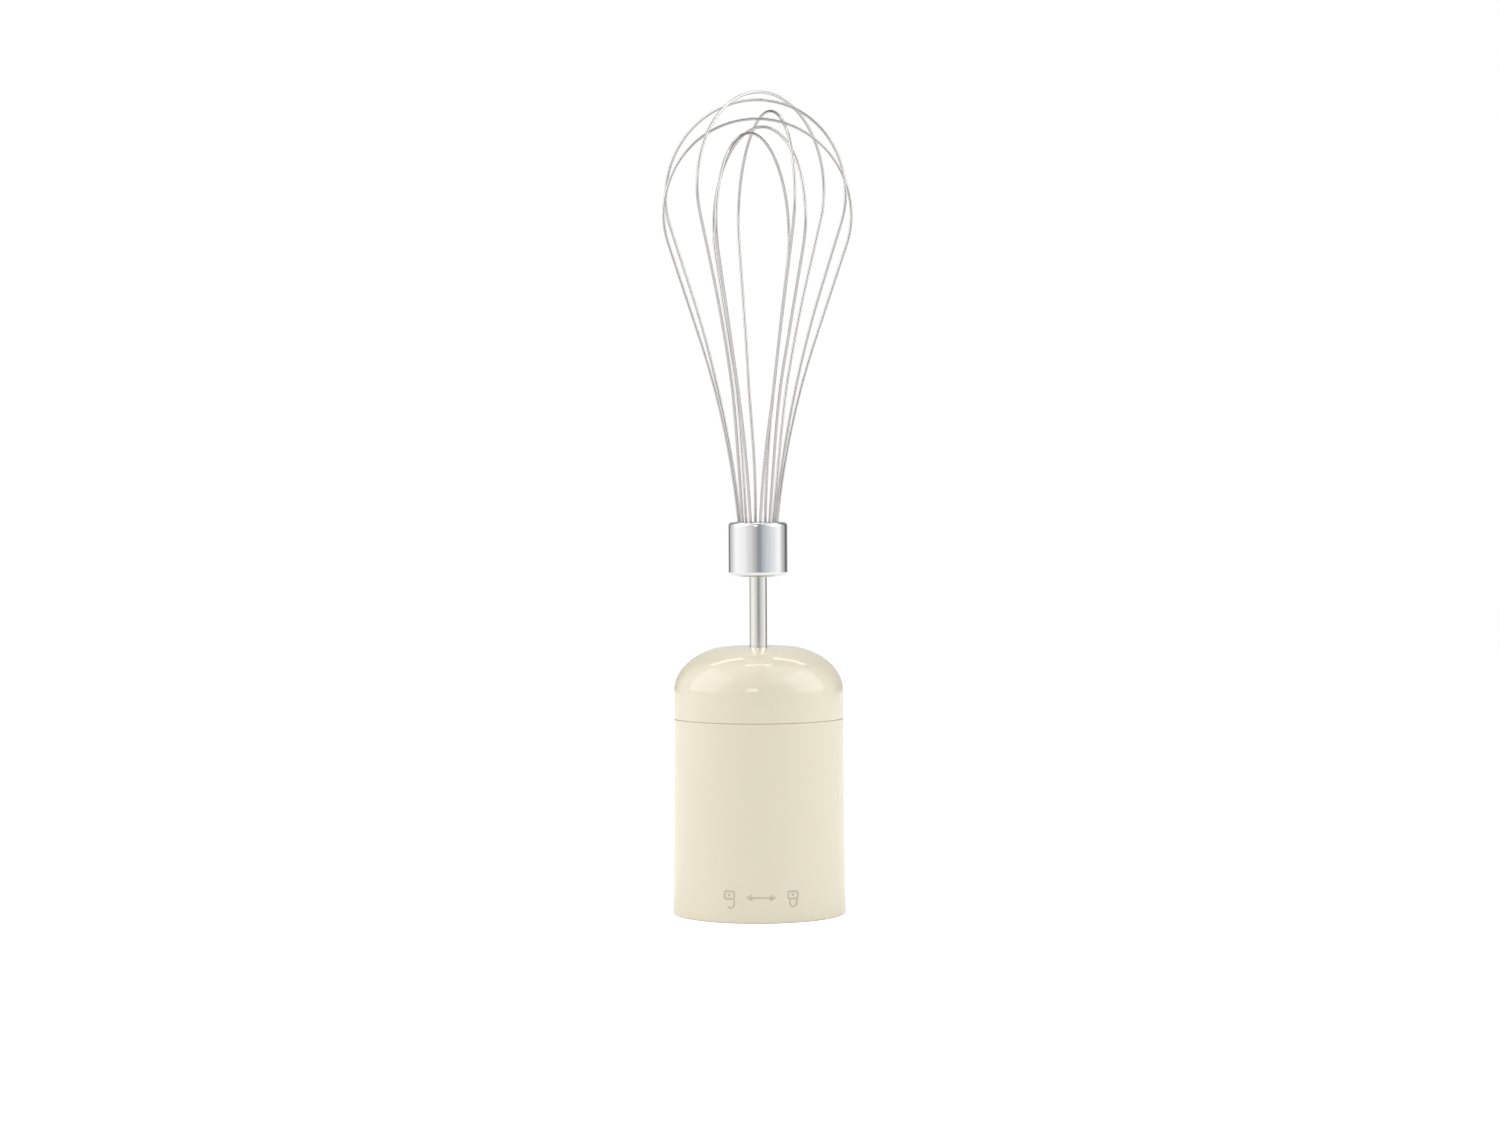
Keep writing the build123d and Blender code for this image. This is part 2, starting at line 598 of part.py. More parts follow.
# Whisk shaft: ground steel rod, with two flats and a snap groove at its driven end.
with BuildPart() as whisk_shaft:
    disc(SHAFT_FLAT_TOP, SHAFT_HEIGHTS[1], SHAFT_RADIUS)
    with BuildSketch(Plane.XY.offset(SHAFT_HEIGHTS[0])):
        two_flats(SHAFT_RADIUS, SHAFT_FLATS)
    extrude(amount=SHAFT_FLAT_TOP - SHAFT_HEIGHTS[0])
    with BuildSketch(Plane.XY.offset(SNAP_GROOVE[0])):
        Circle(SHAFT_RADIUS + 1)
        Circle(2.6, mode=Mode.SUBTRACT)
    extrude(amount=SNAP_GROOVE[1] - SNAP_GROOVE[0], mode=Mode.SUBTRACT)
    chamfer(whisk_shaft.edges().group_by(Axis.Z)[0], 0.4)
whisk_shaft.part.label = "whisk_shaft"
export_step(whisk_shaft.part, "parts/whisk_shaft.step")

# Ferrule: chromed cup, rolled in at its top edge over the wire holder.
ferrule_bottom, ferrule_top = FERRULE_HEIGHTS
with BuildPart() as ferrule:
    with BuildSketch(Plane.XZ):
        with BuildLine():
            Polyline(
                (SHAFT_RADIUS, ferrule_bottom),
                (FERRULE_RADIUS, ferrule_bottom),
                (FERRULE_RADIUS, ferrule_top),
                (8.3, ferrule_top),
                (8.3, ferrule_top - FERRULE_WALL),
                (FERRULE_RADIUS - FERRULE_WALL, ferrule_top - FERRULE_WALL),
                (FERRULE_RADIUS - FERRULE_WALL, ferrule_bottom + FERRULE_WALL),
                (SHAFT_RADIUS, ferrule_bottom + FERRULE_WALL),
                close=True,
            )
        make_face()
        outer_corners = vertices().group_by(Axis.X)[-1].sort_by(Axis.Z)
        fillet(outer_corners[0], 1.6)
        fillet(outer_corners[-1], 0.7)
    revolve(axis=Axis.Z)
ferrule.part.label = "ferrule"
export_step(ferrule.part, "parts/ferrule.step")

# Wire holder: plastic plug in the ferrule, moulded round the shaft, with twelve wire holes.
with BuildPart() as wire_holder:
    disc(ferrule_bottom + 1.9, ferrule_top - 1.0, FERRULE_RADIUS - FERRULE_WALL - RUN)
    fillet(wire_holder.edges().group_by(Axis.Z)[0], 0.8)
    disc(ferrule_bottom, SHAFT_HEIGHTS[1], SHAFT_RADIUS, mode=Mode.SUBTRACT)
    with BuildSketch(Plane.XY.offset(WIRE_FOOT)):
        with PolarLocations(WIRE_CIRCLE, 12, start_angle=WIRE_LOOPS[0][1]):
            Circle(WIRE_RADIUS)
    extrude(amount=ferrule_top - WIRE_FOOT, mode=Mode.SUBTRACT)
wire_holder.part.label = "wire_holder"
export_step(wire_holder.part, "parts/wire_holder.step")

# Wire loops: six spring-steel loops, each pushed with both ends into the holder.
for number, (apex, hole_angle, plane_angle, lean) in enumerate(WIRE_LOOPS, start=1):
    half = loop_half(apex)
    shape = (apex, hole_angle, plane_angle, lean)
    crown = [loop_point(1, *point, *shape) for point in half]
    crown += [loop_point(1, 0, apex, *shape)]
    crown += [loop_point(-1, *point, *shape) for point in reversed(half)]
    foot_heights = (WIRE_FOOT, ferrule_top - 6, ferrule_top - 2)
    first_foot = [(*polar(WIRE_CIRCLE, hole_angle), height) for height in foot_heights]
    second_foot = [(-x, -y, height) for x, y, height in reversed(first_foot)]
    with BuildPart() as wire:
        with BuildLine() as route:
            Spline(*first_foot, *crown, *second_foot, tangents=[(0, 0, 1), (0, 0, -1)])
        with BuildSketch(Plane(origin=route.line @ 0, z_dir=(0, 0, 1))):
            Circle(WIRE_RADIUS)
        sweep(path=route.line)
    wire.part.label = f"wire_loop_{number}"
    export_step(wire.part, f"parts/wire_loop_{number}.step")
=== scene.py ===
from math import cos, pi, radians, sin

import bmesh
import bpy
import numpy as np
from mathutils import Euler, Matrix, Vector


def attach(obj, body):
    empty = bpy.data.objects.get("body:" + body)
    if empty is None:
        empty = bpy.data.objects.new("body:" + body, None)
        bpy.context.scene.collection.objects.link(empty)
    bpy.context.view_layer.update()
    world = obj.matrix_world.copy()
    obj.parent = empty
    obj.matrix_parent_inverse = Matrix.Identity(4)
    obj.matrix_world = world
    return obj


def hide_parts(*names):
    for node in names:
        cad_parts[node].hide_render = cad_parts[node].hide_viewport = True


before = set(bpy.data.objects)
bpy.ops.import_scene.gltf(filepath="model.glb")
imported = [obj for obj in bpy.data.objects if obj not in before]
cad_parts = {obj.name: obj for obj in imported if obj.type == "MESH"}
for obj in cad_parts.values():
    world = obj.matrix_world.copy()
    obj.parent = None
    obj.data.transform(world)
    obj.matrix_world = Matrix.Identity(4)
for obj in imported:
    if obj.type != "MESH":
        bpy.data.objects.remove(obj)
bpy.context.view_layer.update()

# ---------------------------------------------------------------- sleeve
# Lower shell of the housing: one injection moulding in cream ABS from a polished tool, open at
# the coupling rim, with a bulkhead across it that carries the gearbox.

MM = 0.001


def linear(hex_colour):
    """The linear RGBA of an sRGB hex colour: each channel c becomes ((c + 0.055) / 1.055) ** 2.4,
    or c / 12.92 when it is dark."""
    srgb = np.array([int(hex_colour[i:i + 2], 16) for i in (1, 3, 5)]) / 255
    rgb = np.where(srgb <= 0.04045, srgb / 12.92, ((srgb + 0.055) / 1.055) ** 2.4)
    return (*rgb, 1.0)


def add_node(tree, kind, inputs=None, **settings):
    """Adds a node, sets its attributes, and sets or links each named or numbered input."""
    made = tree.nodes.new(kind)
    for key, value in settings.items():
        setattr(made, key, value)
    for key, value in (inputs or {}).items():
        if isinstance(value, bpy.types.NodeSocket):
            tree.links.new(value, made.inputs[key])
        else:
            made.inputs[key].default_value = value
    return made


def new_material(name):
    """An empty material with its output node, as (material, tree, output)."""
    material = bpy.data.materials.new(name)
    material.use_nodes = True
    material.node_tree.nodes.clear()
    output = add_node(material.node_tree, "ShaderNodeOutputMaterial")
    return material, material.node_tree, output


def rounded(corners, steps=6, support=0.12):
    """A profile through (radius, height, fillet) corners, in millimetres.

    Each corner with a fillet becomes an arc tangent to both of its sides, whose tangent points lie
    fillet * tan(turn / 2) from it. A point a little beyond each end keeps the flats' shading flat.
    """
    points = []
    count = len(corners)
    for index, (radius, height, fillet) in enumerate(corners):
        corner = np.array([radius, height], float)
        if fillet == 0:
            points.append(corner)
            continue
        before = np.array(corners[index - 1][:2]) - corner
        after = np.array(corners[(index + 1) % count][:2]) - corner
        before /= np.linalg.norm(before)
        after /= np.linalg.norm(after)
        half = np.arccos(np.clip(before @ after, -1, 1)) / 2
        reach = fillet / np.tan(half)
        middle = corner + (before + after) / np.linalg.norm(before + after) * fillet / np.sin(half)
        start = corner + before * reach - middle
        end = corner + after * reach - middle
        sweep = np.arctan2(start[0] * end[1] - start[1] * end[0], start @ end)
        angle = np.linspace(0, sweep, steps + 1)
        arc = middle + np.stack([
            start[0] * np.cos(angle) - start[1] * np.sin(angle),
            start[0] * np.sin(angle) + start[1] * np.cos(angle),
        ], 1)
        points += [corner + before * (reach + support), *arc, corner + after * (reach + support)]
    return np.array(points)


def grid_mesh(name, points, close_rows, close_columns):
    """A mesh from an array of points shaped (rows, columns, 3) in millimetres, in quads.

    Face (i, j) joins points (i, j), (i, j + 1), (i + 1, j + 1) and (i + 1, j), and a closed
    direction joins its last points to its first.
    """
    rows, columns = points.shape[:2]
    number = np.arange(rows * columns).reshape(rows, columns)
    if close_rows:
        number = np.concatenate([number, number[:1]], 0)
    if close_columns:
        number = np.concatenate([number, number[:, :1]], 1)
    faces = np.stack([number[:-1, :-1], number[:-1, 1:], number[1:, 1:], number[1:, :-1]], -1)
    mesh = bpy.data.meshes.new(name)
    mesh.from_pydata((points.reshape(-1, 3) * MM).tolist(), [], faces.reshape(-1, 4).tolist())
    mesh.shade_smooth()
    return mesh


def place(name, mesh, material, body, replaced=()):
    """Makes the mesh an object, with its material, on a body, standing for CAD nodes."""
    piece = bpy.data.objects.new(name, mesh)
    bpy.context.scene.collection.objects.link(piece)
    mesh.materials.append(material)
    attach(piece, body)
    if replaced:
        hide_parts(*replaced)
    return piece


def turned(name, profile, segments=240, radius_at=None):
    """A closed profile of (radius, height) points carried once round the Z axis.

    Point (i, j) is (r cos t, r sin t, h), with t = 2 pi j / segments. radius_at(r, t) may change
    the radius with the angle, for flats and hexagons.
    """
    t = np.linspace(0, 2 * pi, segments, endpoint=False)[None, :]
    r = np.repeat(profile[:, :1], segments, 1)
    if radius_at is not None:
        r = radius_at(r, t)
    z = np.repeat(profile[:, 1:], segments, 1)
    return grid_mesh(name, np.stack([r * np.cos(t), r * np.sin(t), z], -1), True, True)


# A colour Mix node's sockets: its factor, its two colours, and its result.
FACTOR, FIRST_COLOUR, SECOND_COLOUR, MIXED = 0, 6, 7, 2

# ABS, injection moulded in a polished tool: glossy, with a very slight orange peel from the melt
# skin (about 2 mm across) and a hardly visible unevenness of its cream colour.
abs_cream, tree, output = new_material("ABS_moulded_cream_gloss")
where = add_node(tree, "ShaderNodeTexCoord").outputs["Object"]
tint = add_node(tree, "ShaderNodeTexNoise", {"Vector": where, "Scale": 25.0, "Detail": 1.0})
cream = add_node(tree, "ShaderNodeMix", {
    FACTOR: tint.outputs[0], FIRST_COLOUR: linear("#cac2ac"), SECOND_COLOUR: linear("#cdc5b2"),
}, data_type="RGBA")
peel = add_node(tree, "ShaderNodeTexNoise", {"Vector": where, "Scale": 1 / (2 * MM), "Detail": 2.0})
bump = add_node(tree, "ShaderNodeBump", {
    "Height": peel.outputs[0], "Strength": 0.06, "Distance": 0.05 * MM,
})
gloss = add_node(tree, "ShaderNodeMapRange", {
    "Value": peel.outputs[0], "To Min": 0.07, "To Max": 0.11,
})
shader = add_node(tree, "ShaderNodeBsdfPrincipled", {
    "Base Color": cream.outputs[MIXED], "Roughness": gloss.outputs[0], "IOR": 1.53,
    "Subsurface Weight": 0.12, "Subsurface Radius": (0.9, 0.7, 0.45), "Subsurface Scale": 1.2 * MM,
    "Normal": bump.outputs[0],
})
tree.links.new(shader.outputs[0], output.inputs[0])

rim_radius = 30.0
seam_radius = 29.4
seam_height = 67.7
wall = 2.4
lap_radius = 28.2
lap_height = 61.3
bore_radius = 26.9
bulkhead_top = 30.0
bulkhead_bottom = 27.0
bulkhead_hole = 6.8
recess_radius = 26.8
ring_seat = 22.1
# Each corner is a radius, a height and a fillet, as in every profile below.
sleeve_profile = rounded([
    (rim_radius - wall, 0, 0.6),
    (rim_radius, 0, 0.6),
    (seam_radius, seam_height, 0.3),
    (lap_radius, seam_height, 0.2),
    (lap_radius, lap_height, 0.2),
    (bore_radius, lap_height, 0.2),
    (bore_radius, bulkhead_top, 0.8),
    (bulkhead_hole, bulkhead_top, 0.3),
    (bulkhead_hole, bulkhead_bottom, 0.3),
    (recess_radius, bulkhead_bottom, 0.8),
    (recess_radius, ring_seat, 0.2),
    (rim_radius - wall, ring_seat, 0.2),
])
place("sleeve_shell", turned("sleeve_shell", sleeve_profile), abs_cream, "housing",
      ["sleeve"])

# ---------------------------------------------------------------- dome
# Upper shell of the housing, moulded in the same ABS and snapped into the sleeve. Its top closes
# round the whisk's shaft, and a collar inside holds the shaft's seal.

shoulder_height = 76.8
dome_top = 92.4
flat_radius = 9.34
inside_top = dome_top - wall
spigot_foot = 62.35
spigot_inside = 26.6
spigot_outside = 28.1
seam_gap = 0.05
shaft_hole = 3.4
seal_radius = 9.0
collar_radius = 10.6
collar_foot = 80.0
angle = np.linspace(0, pi / 2, 40)
crown = np.stack([
    flat_radius + (seam_radius - flat_radius) * np.cos(angle),
    shoulder_height + (dome_top - shoulder_height) * np.sin(angle),
], 1)
inner_crown = np.stack([
    flat_radius + (spigot_inside - flat_radius) * np.cos(angle),
    shoulder_height + (inside_top - shoulder_height) * np.sin(angle),
], 1)[::-1]
# The last corner of each of these two only gives the direction in which the profile goes on.
dome_foot = rounded([
    (spigot_inside, spigot_foot, 0.2),
    (spigot_outside, spigot_foot, 0.2),
    (spigot_outside, seam_height + seam_gap, 0.2),
    (seam_radius, seam_height + seam_gap, 0.3),
    (seam_radius, shoulder_height - 1, 0),
])[:-1]
dome_hole = rounded([
    (6.0, dome_top, 0),
    (shaft_hole, dome_top, 0.35),
    (shaft_hole, inside_top, 0.3),
    (seal_radius, inside_top, 0.3),
    (seal_radius, collar_foot, 0.2),
    (collar_radius, collar_foot, 0.2),
    (collar_radius, inside_top - 0.3, 0.3),
    (flat_radius + 2, inside_top - 0.1, 0),
])[:-1]
dome_profile = np.concatenate([dome_foot, crown, dome_hole, inner_crown[1:]])
place("dome_shell", turned("dome_shell", dome_profile), abs_cream, "housing",
      ["dome"])

# ---------------------------------------------------------------- lock marks
# Pad-printed marks near the rim, in a warm grey ink a little darker than the shell: an open
# padlock, a double-headed arrow and a closed padlock, which read upright with the rim upwards.

# Pad-printing ink: an even, slightly matt film, two hundredths of a millimetre thick. It is
# faintly mottled where the pad laid it down.
ink, tree, output = new_material("pad_printed_ink_warm_grey")
where = add_node(tree, "ShaderNodeTexCoord").outputs["Object"]
mottle = add_node(tree, "ShaderNodeTexNoise", {"Vector": where, "Scale": 1 / (0.6 * MM)})
grey = add_node(tree, "ShaderNodeMix", {
    FACTOR: mottle.outputs[0], FIRST_COLOUR: linear("#aca38e"), SECOND_COLOUR: linear("#b8af9a"),
}, data_type="RGBA")
shader = add_node(tree, "ShaderNodeBsdfPrincipled", {
    "Base Color": grey.outputs[MIXED], "Roughness": 0.38, "IOR": 1.5,
})
tree.links.new(shader.outputs[0], output.inputs[0])

mark_height = 8.9
mark_lift = 0.02
film_thickness = 0.02


def stroke(points, width):
    """A flat band of one width along a line, as a (points, 2, 2) grid in the marks' plane.

    Each point is moved half the width to both sides, along the normal of the line's direction
    there, which is the mean of the directions of its two stretches.
    """
    points = np.array(points, float)
    step = np.diff(points, axis=0)
    step /= np.linalg.norm(step, axis=1)[:, None]
    ahead = np.concatenate([step, step[-1:]])
    behind = np.concatenate([step[:1], step])
    mean = (ahead + behind) / 2
    normal = np.stack([-mean[:, 1], mean[:, 0]], 1) / (mean ** 2).sum(1)[:, None]
    return points[:, None] + normal[:, None] * np.array([[width / 2], [-width / 2]])


def arc(centre, radius, first, last, steps=16):
    """Points on a circle's arc between two angles in degrees."""
    angle = np.radians(np.linspace(first, last, steps))
    return np.array(centre) + radius * np.stack([np.cos(angle), np.sin(angle)], 1)


def rectangle(width, height, radius):
    """The outline of a rectangle with rounded corners round the origin, ending where it starts."""
    x, y = width / 2 - radius, height / 2 - radius
    corners = [
        arc((x, y), radius, 0, 90, 5), arc((-x, y), radius, 90, 180, 5),
        arc((-x, -y), radius, 180, 270, 5), arc((x, -y), radius, 270, 360, 5),
    ]
    outline = np.concatenate(corners)
    return np.concatenate([outline, outline[:1]])


def print_mark(name, bands, degrees_round):
    """Wraps flat bands round the sleeve: a band's point (s, h) goes to the angle s / radius and
    the height h above the marks' own, where the radius is the tapered shell's there."""
    parts = []
    for band in bands:
        rows = np.arange(len(band))
        along = np.linspace(0, len(band) - 1, 4 * len(band) - 3)
        fine = np.stack([
            np.stack([np.interp(along, rows, band[:, side, axis]) for axis in (0, 1)], -1)
            for side in (0, 1)
        ], 1)
        height = mark_height + fine[..., 1]
        radius = rim_radius - (rim_radius - seam_radius) * height / seam_height + mark_lift
        angle = radians(-90 + degrees_round) + fine[..., 0] / radius
        points = np.stack([radius * np.cos(angle), radius * np.sin(angle), height], -1)
        parts.append(grid_mesh(name, points, False, False))
    joined = bmesh.new()
    for mesh in parts:
        joined.from_mesh(mesh)
        bpy.data.meshes.remove(mesh)
    mesh = bpy.data.meshes.new(name)
    joined.to_mesh(mesh)
    joined.free()
    mesh.shade_smooth()
    film = place(name, mesh, ink, "housing").modifiers.new("film", "SOLIDIFY")
    film.thickness = film_thickness * MM
    film.offset = 0


line_width = 0.6
shackle_radius = 1.3
shackle_foot = -0.8
lock_body = stroke(rectangle(3.5, 2.5, 0.5) + [0, 0.75], line_width)
keyhole = stroke([(0, 1.25), (0, 0.35)], 0.8)
closed_shackle = stroke(np.concatenate([
    [(shackle_radius, shackle_foot)],
    arc((0, -1.9), shackle_radius, 0, -180),
    [(-shackle_radius, shackle_foot)],
]), line_width)
open_shackle = stroke(np.concatenate([
    [(shackle_radius + 0.45, shackle_foot)],
    arc((0.45, -2.2), shackle_radius, 0, -140),
]), line_width)
arrow_shaft = stroke([(-3.2, 0), (3.2, 0)], 0.55)
arrow_head = np.array([[(-5.05, 0.03), (-5.05, -0.03)], [(-3.05, 1.15), (-3.05, -1.15)]])
print_mark("mark_open_lock", [lock_body, keyhole, open_shackle], -20.3)
print_mark("mark_closed_lock", [lock_body, keyhole, closed_shackle], 22.3)
print_mark("mark_arrow", [arrow_shaft, arrow_head, -arrow_head], 1.0)

# ---------------------------------------------------------------- bayonet ring
# Ring inside the rim that takes the motor handle: glass-filled nylon, moulded, with a guide bore
# and three lugs that lock under the handle's slots. It is welded into the sleeve.

# Glass-filled nylon: matt and fine-grained, because the fibres roughen its skin, here with a
# grain of 0.4 mm, coarse enough to show.
nylon_grey, tree, output = new_material("nylon_glass_filled_grey")
where = add_node(tree, "ShaderNodeTexCoord").outputs["Object"]
grain = add_node(tree, "ShaderNodeTexNoise", {
    "Vector": where, "Scale": 1 / (0.4 * MM), "Detail": 3.0,
})
shade = add_node(tree, "ShaderNodeMix", {
    FACTOR: grain.outputs[0], FIRST_COLOUR: linear("#8d8d8a"), SECOND_COLOUR: linear("#9c9c98"),
}, data_type="RGBA")
bump = add_node(tree, "ShaderNodeBump", {
    "Height": grain.outputs[0], "Strength": 0.25, "Distance": 0.05 * MM,
})
shader = add_node(tree, "ShaderNodeBsdfPrincipled", {
    "Base Color": shade.outputs[MIXED], "Roughness": 0.55, "IOR": 1.53, "Normal": bump.outputs[0],
})
tree.links.new(shader.outputs[0], output.inputs[0])

guide_radius = 26.0
guide_top = 9.0
relief_radius = 26.6
ring_outside = 27.4
ring_foot = 1.0
ring_top = 22.0
ring_profile = rounded([
    (guide_radius, ring_foot, 0.4),
    (ring_outside, ring_foot, 0.3),
    (ring_outside, ring_top, 0.3),
    (relief_radius, ring_top, 0.2),
    (relief_radius, guide_top, 0.2),
    (guide_radius, guide_top, 0.2),
])
ring = turned("bayonet_ring_body", ring_profile)


def lug(middle, width, inner, outer, bottom, top, radius=0.3, steps=24):
    """A block bent round the axis: its rounded cross-section in radius and height is carried over
    the angles that make it `width` wide at its inner face, and its two ends are closed."""
    section = rounded([
        (inner, bottom, radius), (outer, bottom, 0), (outer, top, 0), (inner, top, radius),
    ])
    half = width / 2 / inner
    angle = radians(middle) + np.linspace(-half, half, steps)[None, :]
    r, z = section[:, :1], np.repeat(section[:, 1:], steps, 1)
    points = np.stack([r * np.cos(angle), r * np.sin(angle), z], -1)
    centre = np.repeat(points.mean(0, keepdims=True), len(section), 0)
    ends = [centre[:, :1], points, centre[:, -1:]]
    return grid_mesh("lug", np.concatenate(ends, 1), True, False)


joined = bmesh.new()
joined.from_mesh(ring)
for middle in (30, 150, 270):
    joined.from_mesh(lug(middle, width=9.4, inner=24.6, outer=26.7, bottom=10.0, top=13.5))
bmesh.ops.remove_doubles(joined, verts=joined.verts, dist=0.001 * MM)
joined.to_mesh(ring)
joined.free()
ring.shade_smooth()
place("bayonet_ring_body", ring, nylon_grey, "housing", ["bayonet_ring"])

# ---------------------------------------------------------------- drive coupling
# The dog that the motor's spindle enters: acetal in dark grey, with a hexagonal socket 8 mm
# across flats and a lead-in at its mouth. It is pressed on the input shaft.

# Acetal, moulded: smooth and slightly waxy, with a faint sheen and no visible grain.
acetal_dark, tree, output = new_material("acetal_moulded_dark_grey")
where = add_node(tree, "ShaderNodeTexCoord").outputs["Object"]
cloud = add_node(tree, "ShaderNodeTexNoise", {"Vector": where, "Scale": 1 / (3 * MM)})
shade = add_node(tree, "ShaderNodeMix", {
    FACTOR: cloud.outputs[0], FIRST_COLOUR: linear("#3d3e40"), SECOND_COLOUR: linear("#47484a"),
}, data_type="RGBA")
shader = add_node(tree, "ShaderNodeBsdfPrincipled", {
    "Base Color": shade.outputs[MIXED], "Roughness": 0.36, "IOR": 1.48,
})
tree.links.new(shader.outputs[0], output.inputs[0])

socket_radius = 4.0
socket_floor = 19.0
dog_radius = 7.5
dog_foot = 9.0
dog_top = 24.0
input_bore = 2.0
coupling_profile = rounded([
    (socket_radius, dog_foot, 0.5),
    (dog_radius, dog_foot, 0.6),
    (dog_radius, dog_top, 1.0),
    (input_bore, dog_top, 0.1),
    (input_bore, socket_floor, 0.1),
    (socket_radius, socket_floor, 0.2),
])


def hexagonal(r, t):
    """The socket's wall, between 3.5 and 4.7 mm, turns from a round into a hexagon: its radius is
    divided by a p-norm of the cosines towards the three pairs of flats, which rounds the corners.
    """
    power = 40
    across = sum(np.abs(np.cos(t - radians(60 * k))) ** power for k in range(3)) ** (1 / power)
    socket_wall = (r > 3.5) & (r < 4.7)
    return np.where(socket_wall, r / across, r)


coupling = turned("drive_dog", coupling_profile, 360, hexagonal)
place("drive_dog", coupling, acetal_dark, "input", ["drive_coupling"])

# ---------------------------------------------------------------- gear case
# The gearbox's cup and cover, moulded in off-white acetal, which carries the ring gear's teeth
# and needs no grease on its plain faces. The boss below shows inside the rim.

# Acetal, moulded, natural colour: milky white, a little light passes into it.
acetal_white, tree, output = new_material("acetal_moulded_natural_white")
where = add_node(tree, "ShaderNodeTexCoord").outputs["Object"]
cloud = add_node(tree, "ShaderNodeTexNoise", {"Vector": where, "Scale": 1 / (2.5 * MM)})
shade = add_node(tree, "ShaderNodeMix", {
    FACTOR: cloud.outputs[0], FIRST_COLOUR: linear("#e6e5df"), SECOND_COLOUR: linear("#eeede8"),
}, data_type="RGBA")
shader = add_node(tree, "ShaderNodeBsdfPrincipled", {
    "Base Color": shade.outputs[MIXED], "Roughness": 0.34, "IOR": 1.48,
    "Subsurface Weight": 0.15, "Subsurface Radius": (1.0, 0.9, 0.8), "Subsurface Scale": 1.0 * MM,
})
tree.links.new(shader.outputs[0], output.inputs[0])


def finish_nodes(material, slot, *nodes):
    """Gives CAD nodes that stay as they are their material. The slot is not used."""
    for name in nodes:
        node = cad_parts[name]
        node.data.materials.clear()
        node.data.materials.append(material)


finish_nodes(acetal_white, "case_plastic", "gear_case", "gear_case_cover")
finish_nodes(acetal_white, "gear_plastic", "floor_washer", "middle_washer", "top_washer")
finish_nodes(acetal_white, "gear_plastic",
             *[f"planet_{stage}{letter}" for stage in (1, 2) for letter in "abc"])

# ---------------------------------------------------------------- steel gear train
# Sun gears, carriers, pins, input shaft and output socket: free-cutting steel, turned and
# hobbed, left bright under a film of grease. The screws are zinc-plated pan heads.

# Turned steel: fine rings round the axis, 0.15 mm apart, from the lathe tool. The pattern is
# squeezed along the axis, so that its grains become rings.
steel, tree, output = new_material("steel_turned_bright")
where = add_node(tree, "ShaderNodeTexCoord").outputs["Object"]
squeeze = 30.0
squeezed = add_node(tree, "ShaderNodeMapping", {
    "Vector": where, "Scale": (1.0, 1.0, squeeze),
})
rings = add_node(tree, "ShaderNodeTexNoise", {
    "Vector": squeezed.outputs[0], "Scale": 1 / (squeeze * 0.15 * MM), "Detail": 2.0,
})
rough = add_node(tree, "ShaderNodeMapRange", {
    "Value": rings.outputs[0], "To Min": 0.22, "To Max": 0.38,
})
bump = add_node(tree, "ShaderNodeBump", {
    "Height": rings.outputs[0], "Strength": 0.15, "Distance": 0.02 * MM,
})
shader = add_node(tree, "ShaderNodeBsdfPrincipled", {
    "Base Color": linear("#b9b7b3"), "Metallic": 1.0, "Roughness": rough.outputs[0],
    "Normal": bump.outputs[0],
})
tree.links.new(shader.outputs[0], output.inputs[0])
finish_nodes(steel, "steel", "sun_gear_1", "sun_gear_2", "carrier_1", "carrier_2",
             "carrier_1_pins", "carrier_2_pins", "input_shaft", "output_socket")

# Zinc plate, bright passivated: a slightly blue, finely crystalline skin.
zinc, tree, output = new_material("steel_zinc_plated_screw")
where = add_node(tree, "ShaderNodeTexCoord").outputs["Object"]
crystal = add_node(tree, "ShaderNodeTexVoronoi", {"Vector": where, "Scale": 1 / (0.3 * MM)})
tone = add_node(tree, "ShaderNodeMix", {
    FACTOR: crystal.outputs[0], FIRST_COLOUR: linear("#b4bac0"), SECOND_COLOUR: linear("#c3c8cc"),
}, data_type="RGBA")
shader = add_node(tree, "ShaderNodeBsdfPrincipled", {
    "Base Color": tone.outputs[MIXED], "Metallic": 1.0, "Roughness": 0.32,
})
tree.links.new(shader.outputs[0], output.inputs[0])
finish_nodes(zinc, "steel", "case_screws", "cover_screws")

# ---------------------------------------------------------------- clips, bushes and seals
# Spring-steel clips with an oiled black skin, sintered bronze bushes that hold oil in their
# pores, and moulded nitrile rubber for the lip seal and the housing's gasket.

# Oil-blacked spring steel: dark, satin, with brown where the oxide is thin.
blacked, tree, output = new_material("spring_steel_oil_blacked")
where = add_node(tree, "ShaderNodeTexCoord").outputs["Object"]
patches = add_node(tree, "ShaderNodeTexNoise", {
    "Vector": where, "Scale": 1 / (1.5 * MM), "Detail": 3.0,
})
tone = add_node(tree, "ShaderNodeMix", {
    FACTOR: patches.outputs[0], FIRST_COLOUR: linear("#3a3836"), SECOND_COLOUR: linear("#4a4642"),
}, data_type="RGBA")
shader = add_node(tree, "ShaderNodeBsdfPrincipled", {
    "Base Color": tone.outputs[MIXED], "Metallic": 1.0, "Roughness": 0.42,
})
tree.links.new(shader.outputs[0], output.inputs[0])
finish_nodes(blacked, "spring_steel", "input_clip", "output_circlip", "snap_ring")

